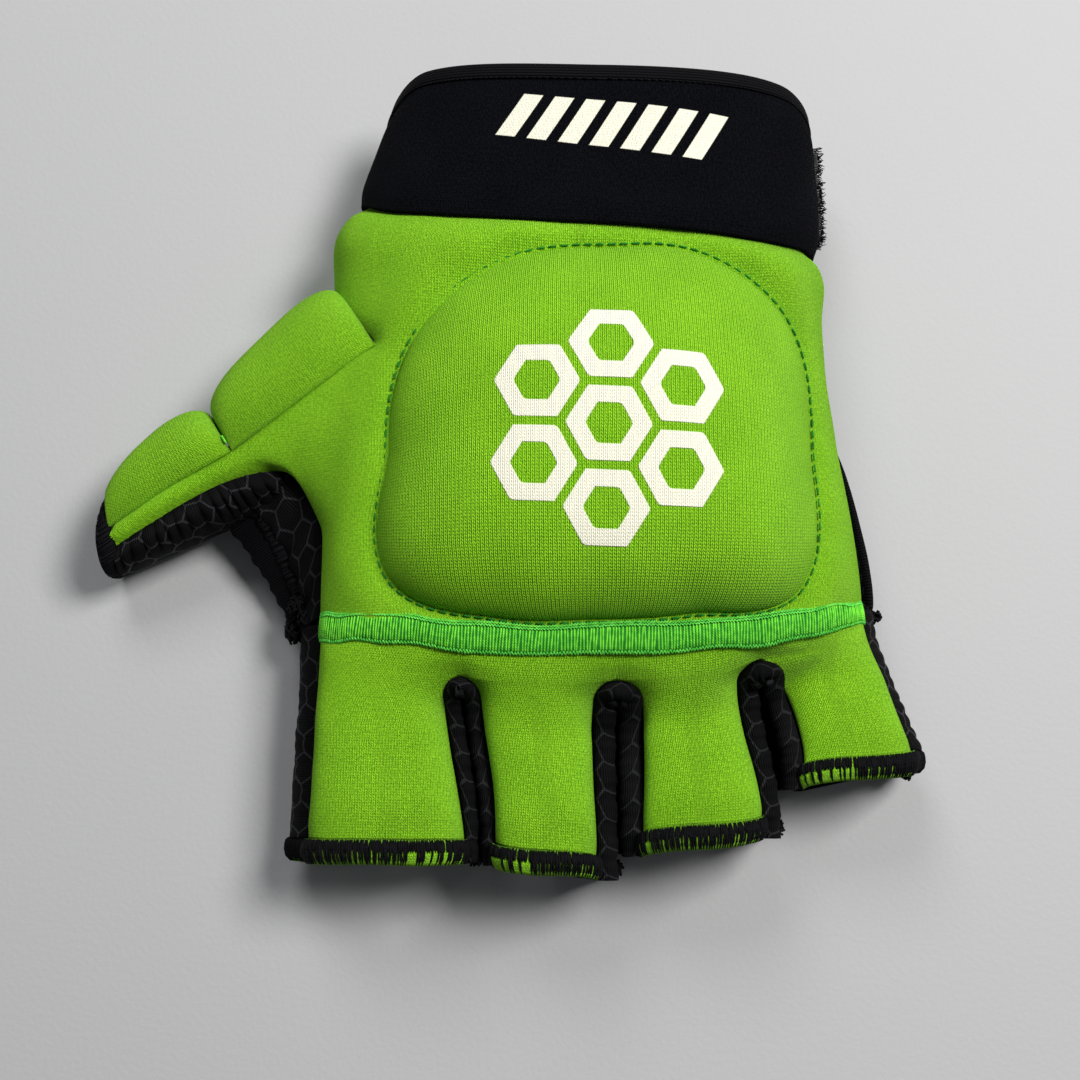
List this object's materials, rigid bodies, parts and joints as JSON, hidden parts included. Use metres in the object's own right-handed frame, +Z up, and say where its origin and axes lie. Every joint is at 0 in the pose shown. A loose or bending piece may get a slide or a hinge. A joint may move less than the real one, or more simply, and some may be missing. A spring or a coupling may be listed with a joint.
{
  "type": "half-finger padded hockey glove",
  "caption": "Left-hand half-finger sports glove lying palm down, with a raised foam dome over the knuckles, padded thumb, open palm and a wrap-round wrist band.",
  "frame": {"origin": "centre of the bounding box in plan, on the surface the glove lies on", "axes": "+Z up from the surface, -Y towards the finger ends, -X towards the thumb"},
  "size_m": [0.1694, 0.162, 0.0487],
  "materials": {
    "green_knit": "brushed lime-green knit over foam",
    "dome_knit": "stretched lime-green rib knit",
    "green_overlock": "bright green overlock thread",
    "wrist_knit": "black foam-backed knit",
    "hexagon_palm": "black knit with a slightly glossy hexagon print",
    "slot_lining": "black ribbed stretch fabric",
    "black_elastic": "ribbed black elastic",
    "black_overlock": "black overlock thread",
    "loop_pile": "black loop pile"
  },
  "bodies": {
    "root": {"back_panel": "green_knit", "closure_patch": "loop_pile", "closure_tab": "wrist_knit", "cuff_band": "wrist_knit", "cuff_binding": "black_elastic", "finger_mouth_index": "black_overlock", "finger_mouth_little": "black_overlock", "finger_mouth_middle": "black_overlock", "finger_mouth_ring": "black_overlock", "finger_palm": "hexagon_palm", "finger_panel": "green_knit", "fourchette_1": "slot_lining", "fourchette_2": "slot_lining", "fourchette_3": "slot_lining", "knuckle_pad": "dome_knit", "knuckle_seam": "green_overlock", "palm_binding": "black_elastic", "thumb_mouth": "black_overlock", "thumb_pad_inner": "green_knit", "thumb_pad_outer": "green_knit", "thumb_palm": "hexagon_palm", "web_panel": "hexagon_palm"}
  },
  "joints": []
}
